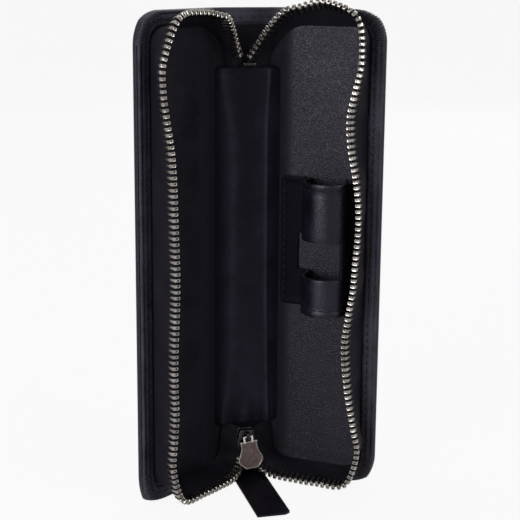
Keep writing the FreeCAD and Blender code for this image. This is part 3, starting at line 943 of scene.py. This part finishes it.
def round_edges(piece, width, segments, angle=30):
    """Round the edges that are sharper than an angle."""
    apply_modifier(piece, "BEVEL", width=width * metre, segments=segments, limit_method="ANGLE",
                   angle_limit=math.radians(angle))


round_edges(loop, loop_edge, 3, 50)
loop_leather = leather("loop_leather", (0.0028, 0.0023, 0.0045), (0.0068, 0.0057, 0.0108),
                       0.0006, 0.000035, 0.33, 0.22)
# The flange's leather is a darker, matt copy of the loop's: painted shade, for the shadow of a pen
# lying in the loop.
flange_painted_shade = leather("flange_painted_shade", (0.0016, 0.0014, 0.0025), (0.004, 0.0034, 0.0061),
                         0.0006, 0.000035, 0.5, 0.03)
dress(loop, loop_leather, flange_painted_shade, angle=60)
# Faces nearer the spine than the wall's foot take the flange's painted shade.
for polygon in loop.data.polygons:
    across, back = polygon.center.x / metre - spine_half, -polygon.center.y / metre
    past = across * math.cos(open_angle) + back * math.sin(open_angle)
    polygon.material_index = int(past < wall_near - loop_foot / 2)
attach(loop, "right_cover")
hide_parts("pen_loop")

flange_line = folded("right", spine_half + flange_edge + flange_seam, loop_face - seam_sunk,
                     np.linspace(loop_low + seam_margin, loop_high - seam_margin, 40))
flange_face = np.array([-math.sin(open_angle), -math.cos(open_angle), 0])
seams = [sew(flange_line, np.tile(flange_face, (len(flange_line), 1)), "seam")]
band = slice(window_first + 2, len(line) - 4)
for level in (loop_low + end_seam, loop_high - end_seam):
    sewn_on, above = (folded("right", spine_half + spots[:, 0], spots[:, 1], level)
                      for spots in (line[band], line[band] + normals[band]))
    seams.append(sew(sewn_on, above - sewn_on, "seam"))
sewn = join(seams, "pen_loop_stitches")
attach(sewn, "right_cover")
bpy.data.objects.remove(stitch)

# Zip slider: a die-cast body of two plates joined by a wedge, with a small bridge on its front
# that the puller hangs from. Its metal is darkened: painted shade, for the shade it sits in.
slider_low, slider_high, slider_front, slider_back = 10.6, 18.7, -7.4, -3.6
slider_plate, slider_wide, slider_narrow, slider_mouth = 0.7, 3.5, 2.5, 0.86
wedge_half, wedge_low, wedge_high = 0.75, slider_low + 0.2, slider_low + 3.0
bridge_half, bridge_low, bridge_high, bridge_leg = 0.7, 15.6, 18.4, 0.6
beam_back, beam_front = -9.6, -10.3
hole_half, overlap, hair = 2, 0.1, 1e-5
plate_round, wedge_round, bridge_round = 0.3, 0.25, 0.2


def block(name, low, high):
    """A box between two corners, in millimetres."""
    pick()
    centre = [(a + b) / 2 * metre for a, b in zip(low, high)]
    bpy.ops.mesh.primitive_cube_add(size=1, location=centre,
                                    scale=[(b - a) * metre for a, b in zip(low, high)])
    return named(name)


def cast_plate(y):
    """One slider plate: widest in the middle, drawn in to the tail above."""
    plate = block("plate", (-slider_wide, y, slider_low),
                  (slider_wide, y + slider_plate, slider_high))
    middle = (slider_low + slider_high) / 2 * metre
    edit(plate, pick_all,
         lambda: bpy.ops.mesh.bisect(plane_co=(0, 0, middle), plane_no=(0, 0, 1)))
    points = points_of(plate)
    points[points[:, 2] > middle + hair, 0] *= slider_narrow / slider_wide
    points[points[:, 2] < middle - hair, 0] *= slider_mouth
    set_points(plate, points)
    round_edges(plate, plate_round, 3)
    return plate


def shift_to_row(piece):
    """Move a piece sideways to the line where the two tooth rows meet."""
    set_points(piece, points_of(piece) + np.array((zip_shift * metre, 0, 0)))


# Painted shade: the slider's metal is darkened to stand for the shade it sits in under the spine
# lining's foot; the bridge and the top stop use it too.
shade_darkened_metal, tree, shader = new_material("shade_darkened_slider_metal")
plug(shader, Base_Color=tones(tree, noise(tree, 520.0, 5.0), (0.32, (0.014, 0.013, 0.014)),
                              (0.68, (0.05, 0.047, 0.048))), Roughness=0.3, Metallic=1.0)

wedge = block("wedge", (-wedge_half, slider_front + slider_plate - overlap, wedge_low),
              (wedge_half, slider_back - slider_plate + overlap, wedge_high))
round_edges(wedge, wedge_round, 2)
slider = join([cast_plate(slider_front), cast_plate(slider_back - slider_plate), wedge],
              "slider_cast")
shift_to_row(slider)
dress(slider, shade_darkened_metal)
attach(slider, "slider")
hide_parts("slider_body")

bridge = block("bridge_cast", (-bridge_half, beam_front, bridge_low),
               (bridge_half, slider_front + overlap, bridge_high))
hole = block("hole", (-hole_half, beam_back, bridge_low + bridge_leg),
             (hole_half, slider_front + bridge_leg, bridge_high - bridge_leg))
apply_modifier(bridge, "BOOLEAN", object=hole, operation="DIFFERENCE", solver="EXACT")
bpy.data.objects.remove(hole)
round_edges(bridge, bridge_round, 2)
shift_to_row(bridge)
dress(bridge, shade_darkened_metal)
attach(bridge, "slider")
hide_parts("slider_bridge")

# Zip puller: a stamped shield with a bright raised rim and a matt brown-grey field. Two nickel
# arms carry the bar that swings in the bridge.
bar_y, bar_z, bar_radius, bar_length = -9.0, 16.7, 0.4, 3.7
arm_near, arm_far, arm_half, arm_low = 1.05, 1.85, 0.42, 14.4
puller_thick, arm_round, bar_round, field_hair = 1.0, 0.2, 0.12, 0.03
puller_tilt, puller_lean = math.radians(6.5), math.radians(4)
puller_half = ((4.7, 2.0), (5.4, 2.85), (6.5, 3.95), (7.7, 4.6), (8.3, 4.68), (9.2, 4.4),
               (11.0, 3.55), (12.6, 3.1), (13.6, 3.05), (15.1, 3.2))
puller_low, puller_high = puller_half[0][0], puller_half[-1][0]
rim_width, rim_height = 0.38, 0.26
shield_insets = np.array((0.0, 0.1, 0.2, rim_width - 0.05, rim_width + 0.05, rim_width + 0.14))
shield_levels = np.array((-0.16, -0.05, 0.0, 0.0, -rim_height + 0.04, -rim_height))
shield_columns, shield_rows = 22, 34
rim_rings = len(shield_insets) - 1


def shield_spread(step, count, low, high):
    """A place between low and high: ring by ring from both ends, then evenly between."""
    from_end = np.minimum(step, count - step).astype(int)
    inset = shield_insets[np.minimum(from_end, rim_rings)]
    inner = np.clip((step - rim_rings) / (count - 2 * rim_rings), 0, 1)
    even = low + shield_insets[-1] + (high - low - 2 * shield_insets[-1]) * inner
    rim = np.where(step < count / 2, low + inset, high - inset)
    return np.where(from_end >= rim_rings, even, rim), np.minimum(from_end, rim_rings)


puller, column, row = new_grid("puller_shield", shield_columns, shield_rows)
z, ring_z = shield_spread(row, shield_rows, puller_low, puller_high)
fine = np.linspace(puller_low, puller_high, 80)
half = np.interp(z, fine, softened(np.interp(fine, *zip(*puller_half))))
x, ring_x = shield_spread(column, shield_columns, -half, half)
relief = shield_levels[np.minimum(ring_x, ring_z)]
plate_front = bar_y - puller_thick / 2
set_points(puller, np.stack([x, plate_front - relief, z], 1) * metre)
back_up(puller, border_of(column, row), lambda x: plate_front + puller_thick)

enamel, tree, shader = new_material("matt_field")
mottle = noise(tree, 700.0, 6.0, Roughness=0.65)
plug(shader, Base_Color=tones(tree, mottle, (0.3, (0.044, 0.0275, 0.0245)),
                              (0.72, (0.124, 0.089, 0.082))),
     Roughness=uneven(tree, noise(tree, 150.0, 3.0), 0.32, 0.5),
     Normal=bump(tree, mottle, 0.5, 0.00005), Metallic=0.55)
nickel, tree, shader = new_material("nickel_cast")
cloud = noise(tree, 420.0, 5.0)
plug(shader, Base_Color=tones(tree, cloud, (0.32, (0.4, 0.37, 0.34)), (0.68, (0.68, 0.65, 0.61))),
     Roughness=uneven(tree, cloud, 0.22, 0.4),
     Normal=bump(tree, noise(tree, 3200.0, 2.0), 0.2, 0.00004), Metallic=1.0)

puller.data.materials.append(plated)
puller.data.materials.append(enamel)
field_depth = (plate_front + rim_height - field_hair) * metre
for polygon in puller.data.polygons:
    deep = all(puller.data.vertices[v].co.y > field_depth for v in polygon.vertices)
    polygon.material_index = int(deep and polygon.normal.y < -0.9)
hangers = []
for way in (-1, 1):
    near, far = sorted((way * arm_near, way * arm_far))
    arm = block("arm", (near, bar_y - arm_half, arm_low),
                (far, bar_y + arm_half, bar_z + bar_radius))
    round_edges(arm, arm_round, 3)
    hangers.append(arm)
pick()
bpy.ops.mesh.primitive_cylinder_add(vertices=16, radius=bar_radius * metre,
                                    depth=bar_length * metre, rotation=(0, math.pi / 2, 0),
                                    location=(0, bar_y * metre, bar_z * metre))
hangers.append(named("bar"))
round_edges(hangers[-1], bar_round, 2, 40)
for part in hangers:
    part.data.materials.append(nickel)
puller = join([puller, *hangers], "puller_shield")
hang_place = Vector((0, bar_y, bar_z)) * metre
puller.data.transform(Matrix.Translation(hang_place + Vector((zip_shift * metre, 0, 0)))
                      @ Matrix.Rotation(-puller_tilt, 4, "Y")
                      @ Matrix.Rotation(-puller_lean, 4, "X") @ Matrix.Translation(-hang_place))
dress(puller, angle=35)
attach(puller, "puller")
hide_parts("zip_puller")

# Top stop: a small clamp in the slider's darkened metal. It is pressed across the two row ends, at
# the lining's upper hem.
stop_half, stop_front, stop_back, stop_low, stop_high = 2.3, -4.3, -2.3, 148.7, 149.7
stop_round = 0.3

stop = block("top_stop_clamp", (-stop_half, stop_front, stop_low),
             (stop_half, stop_back, stop_high))
round_edges(stop, stop_round, 3)
dress(stop, shade_darkened_metal)
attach(stop, "spine")
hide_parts("zip_top_stop")

# Grip tab: a doubled leather strip with cut edges, sewn under the spine's foot. It lies forward
# on the floor and is held while the zip is drawn.
tab_half, tab_back, tab_front, tab_thick = 5.8, 0.25, -41.05, 1.1
tab_columns, tab_rows = 20, 70
cut_width, cut_depth, cut_share = 1.6, 1.1, 0.2
edge_drop, edge_soft, tab_wave = 0.22, 0.35, 0.05
tab_edge = ((0.86, 1.012), (0.72, 1.0), (0.66, 0.985), (0.6, 1.0), (0.46, 1.012), (0.1, 1.008),
            (0.02, 0.985))

tab, column, row = new_grid("grip_tab.leather", tab_columns, tab_rows)
x = (column / tab_columns * 2 - 1) * tab_half
share = row / tab_rows
cut = np.clip((x - (tab_half - cut_width)) / cut_width, 0, 1)
y = (tab_front + (tab_back - tab_front) * share
     + np.where(share < cut_share, cut * cut_depth * (1 - share / cut_share), 0))
edge = np.minimum(tab_half - np.abs(x), np.clip(y - tab_front, 0, None))
top = tab_thick - edge_drop * np.exp(-edge / edge_soft) + tab_wave * (np.sin(y / 5.0) - 1)
set_points(tab, np.stack([x, y, top], 1) * metre)
on_border = border_of(column, row)
pick_edges(tab, on_border)
rim = points_of(tab)[on_border]
turn_over(tab, rim, *(np.stack([rim[:, 0] * grow, rim[:, 1], np.full(len(rim), level * metre)], 1)
                      for level, grow in tab_edge))
close_up(tab)
tab_leather = leather("tab_leather", (0.0024, 0.002, 0.0039), (0.0058, 0.0049, 0.0092),
                      0.0006, 0.000035, 0.38, 0.15)
dress(tab, tab_leather, angle=60)
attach(tab, "tab")
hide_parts("grip_tab")

# Floor and light: a plain pale floor in a white room, with four soft lamps. Floor and room show
# white to the camera and in reflections, and give less light than they show.
floor_size, floor_drop, floor_white = 14, -0.0002, 0.92
room_light, room_white = 0.22, 0.95
camera_place, camera_aim = (-0.11223, -0.44669, 0.18845), (0.00118, -0.015, 0.08327)
camera_roll, camera_lens = math.radians(0.47), 92.32
lamps = (("key_lamp", (-0.77, -0.69, 0.27), (0, 0, 0.1), (0.5, 0.4), 9.5),
         ("top_lamp", (-0.1, 0.15, 1.1), (0, 0, 0.08), (0.6, 0.6), 6),
         ("back_lamp", (0.55, 0.95, 0.5), (0, 0, 0.08), (0.5, 0.5), 4),
         ("front_lamp", (0.68, -0.8, 0.45), (0, 0, 0.08), (0.2, 0.5), 3.0))


def seen(tree):
    """1 for camera, glossy and transmission rays, which see the white itself."""
    path = node(tree, "LightPath")
    seen_or_shiny = node(tree, "Math", {"operation": "MAXIMUM"}, i0=(path, "Is Camera Ray"),
                         i1=(path, "Is Glossy Ray"))
    return node(tree, "Math", {"operation": "MAXIMUM"}, i0=(seen_or_shiny, "Value"),
                i1=(path, "Is Transmission Ray")), "Value"


pick()
bpy.ops.mesh.primitive_plane_add(size=floor_size, location=(0, 0, floor_drop))
floor = bpy.context.object
floor.name = "floor"
paper, tree, shader = new_material("pale_floor")
plug(shader, Base_Color=(0.4, 0.4, 0.41, 1), Roughness=0.8, Specular_IOR_Level=0.1)
white = node(tree, "Math", {"operation": "MULTIPLY"}, i0=seen(tree), i1=floor_white)
glow = node(tree, "Emission", Color=(1, 1, 1, 1), Strength=1.0)
mixed = node(tree, "MixShader", Fac=(white, "Value"), i1=(shader, "BSDF"), i2=(glow, "Emission"))
plug(tree.nodes["Material Output"], Surface=(mixed, "Shader"))
floor.data.materials.append(paper)
floor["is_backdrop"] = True

world = bpy.data.worlds.new("white_room")
bpy.context.scene.world = world
world.use_nodes = True
tree = world.node_tree
level = node(tree, "MapRange", Value=seen(tree), To_Min=room_light, To_Max=room_white)
plug(tree.nodes["Background"], Color=(1, 1, 1, 1), Strength=(level, "Result"))


def aim(made, place, target, roll=0.0):
    """Place a lamp or camera and turn it to its target."""
    made.location = place
    made.rotation_mode = "QUATERNION"
    made.rotation_quaternion = ((Vector(target) - Vector(place)).to_track_quat("-Z", "Y")
                                @ Quaternion((0, 0, 1), roll))


for name, place, target, size, power in lamps:
    lamp = bpy.data.lights.new(name, "AREA")
    lamp.shape = "RECTANGLE"
    lamp.size, lamp.size_y = size
    lamp.energy = power
    aim(add(name, lamp), place, target)

view = bpy.data.cameras.new("camera")
view.sensor_width = 36.0
view.lens = camera_lens
view.clip_start, view.clip_end = 0.01, 50
camera = add("camera", view)
aim(camera, camera_place, camera_aim, camera_roll)
bpy.context.scene.camera = camera
bpy.context.scene.view_settings.view_transform = "Standard"

low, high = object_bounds()
